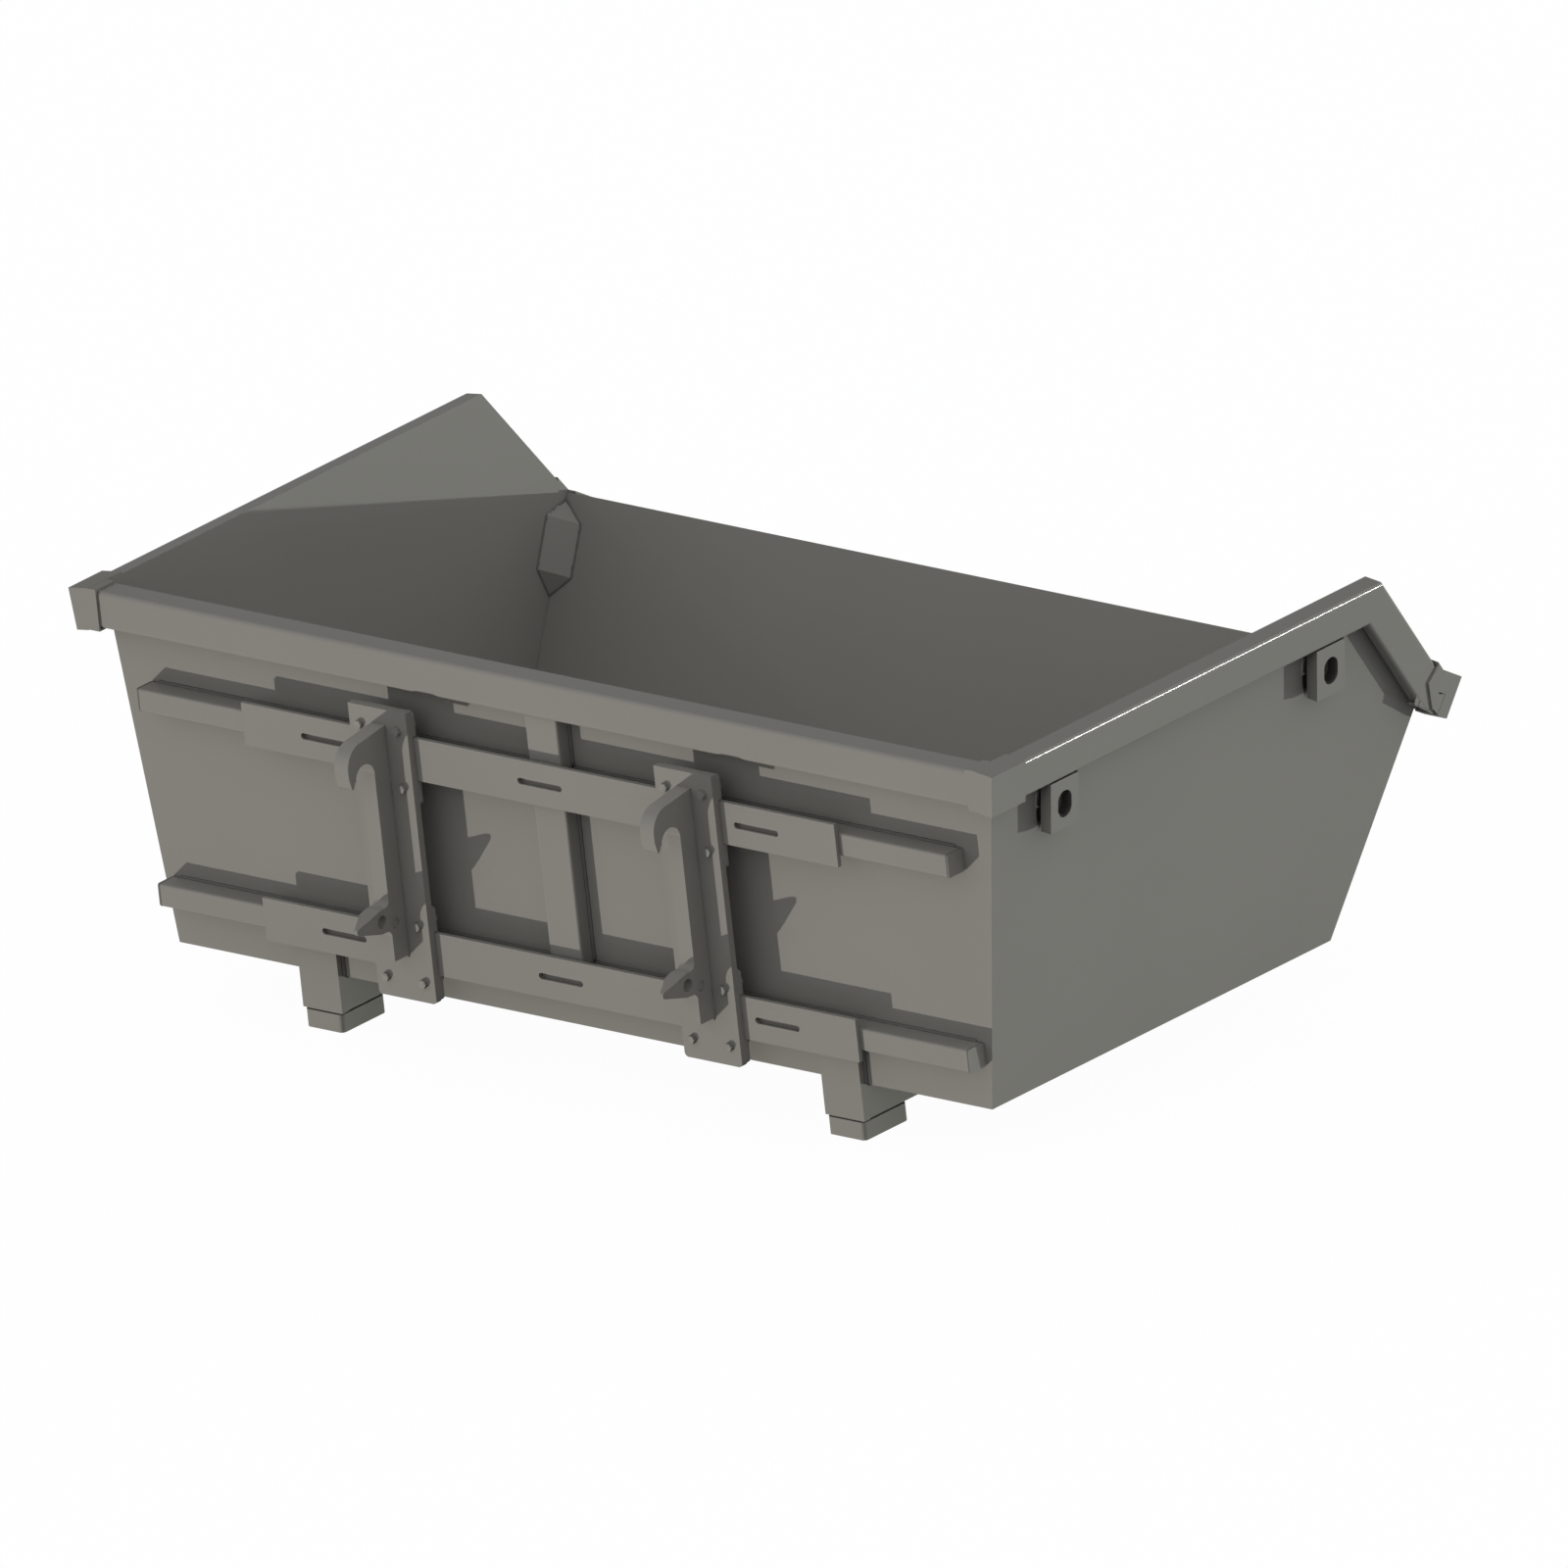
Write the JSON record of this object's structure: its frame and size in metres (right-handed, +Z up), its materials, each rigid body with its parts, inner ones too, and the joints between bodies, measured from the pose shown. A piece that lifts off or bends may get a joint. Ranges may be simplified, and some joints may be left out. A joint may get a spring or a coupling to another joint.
{
  "type": "container bucket",
  "caption": "Painted steel container bucket with leaning walls, a low pouring lip, folded rims, lifting lugs, bolted quick-hitch hooks on slotted bars, and runners on foot pads.",
  "frame": {"origin": "on the ground, midway across the width and midway along the depth of the whole bucket", "axes": "+X across the width to the right seen from the hook side, +Y from the hook side to the pouring lip, +Z up"},
  "size_m": [2.009, 1.3132, 0.7185],
  "materials": {
    "body_paint": "satin",
    "frame_paint": "satin",
    "foot_paint": "satin",
    "zinc_steel": "satin"
  },
  "bodies": {
    "root": {"front_wall": "body_paint", "floor_plate": "body_paint", "back_wall": "body_paint", "end_wall_left": "body_paint", "end_wall_right": "body_paint", "front_rim": "body_paint", "lip_rim": "body_paint", "side_rim_left": "body_paint", "side_rim_right": "body_paint", "slope_rim_left": "body_paint", "slope_rim_right": "body_paint", "corner_cap_left": "body_paint", "corner_cap_right": "body_paint", "tip_cap_left": "body_paint", "tip_cap_right": "body_paint", "gusset_left": "body_paint", "gusset_right": "body_paint", "lug_front_left": "body_paint", "lug_front_right": "body_paint", "lug_rear_left": "body_paint", "lug_rear_right": "body_paint", "tube_upper": "frame_paint", "tube_lower": "frame_paint", "tube_plugs": "frame_paint", "post_upper": "frame_paint", "post_lower": "frame_paint", "bar_upper": "frame_paint", "bar_lower": "frame_paint", "base_plate_left": "frame_paint", "base_plate_right": "frame_paint", "hook_left": "frame_paint", "hook_right": "frame_paint", "clamp_left_1": "frame_paint", "clamp_left_2": "frame_paint", "clamp_left_3": "frame_paint", "clamp_left_4": "frame_paint", "clamp_right_1": "frame_paint", "clamp_right_2": "frame_paint", "clamp_right_3": "frame_paint", "clamp_right_4": "frame_paint", "bolts_left": "zinc_steel", "bolts_right": "zinc_steel", "washers_left": "zinc_steel", "washers_right": "zinc_steel", "nuts_left": "zinc_steel", "nuts_right": "zinc_steel", "leg_left": "frame_paint", "leg_right": "frame_paint", "runner_left": "frame_paint", "runner_right": "frame_paint", "pad_front_left": "foot_paint", "pad_front_right": "foot_paint", "pad_rear_left": "foot_paint", "pad_rear_right": "foot_paint", "shims": "foot_paint"}
  },
  "joints": []
}
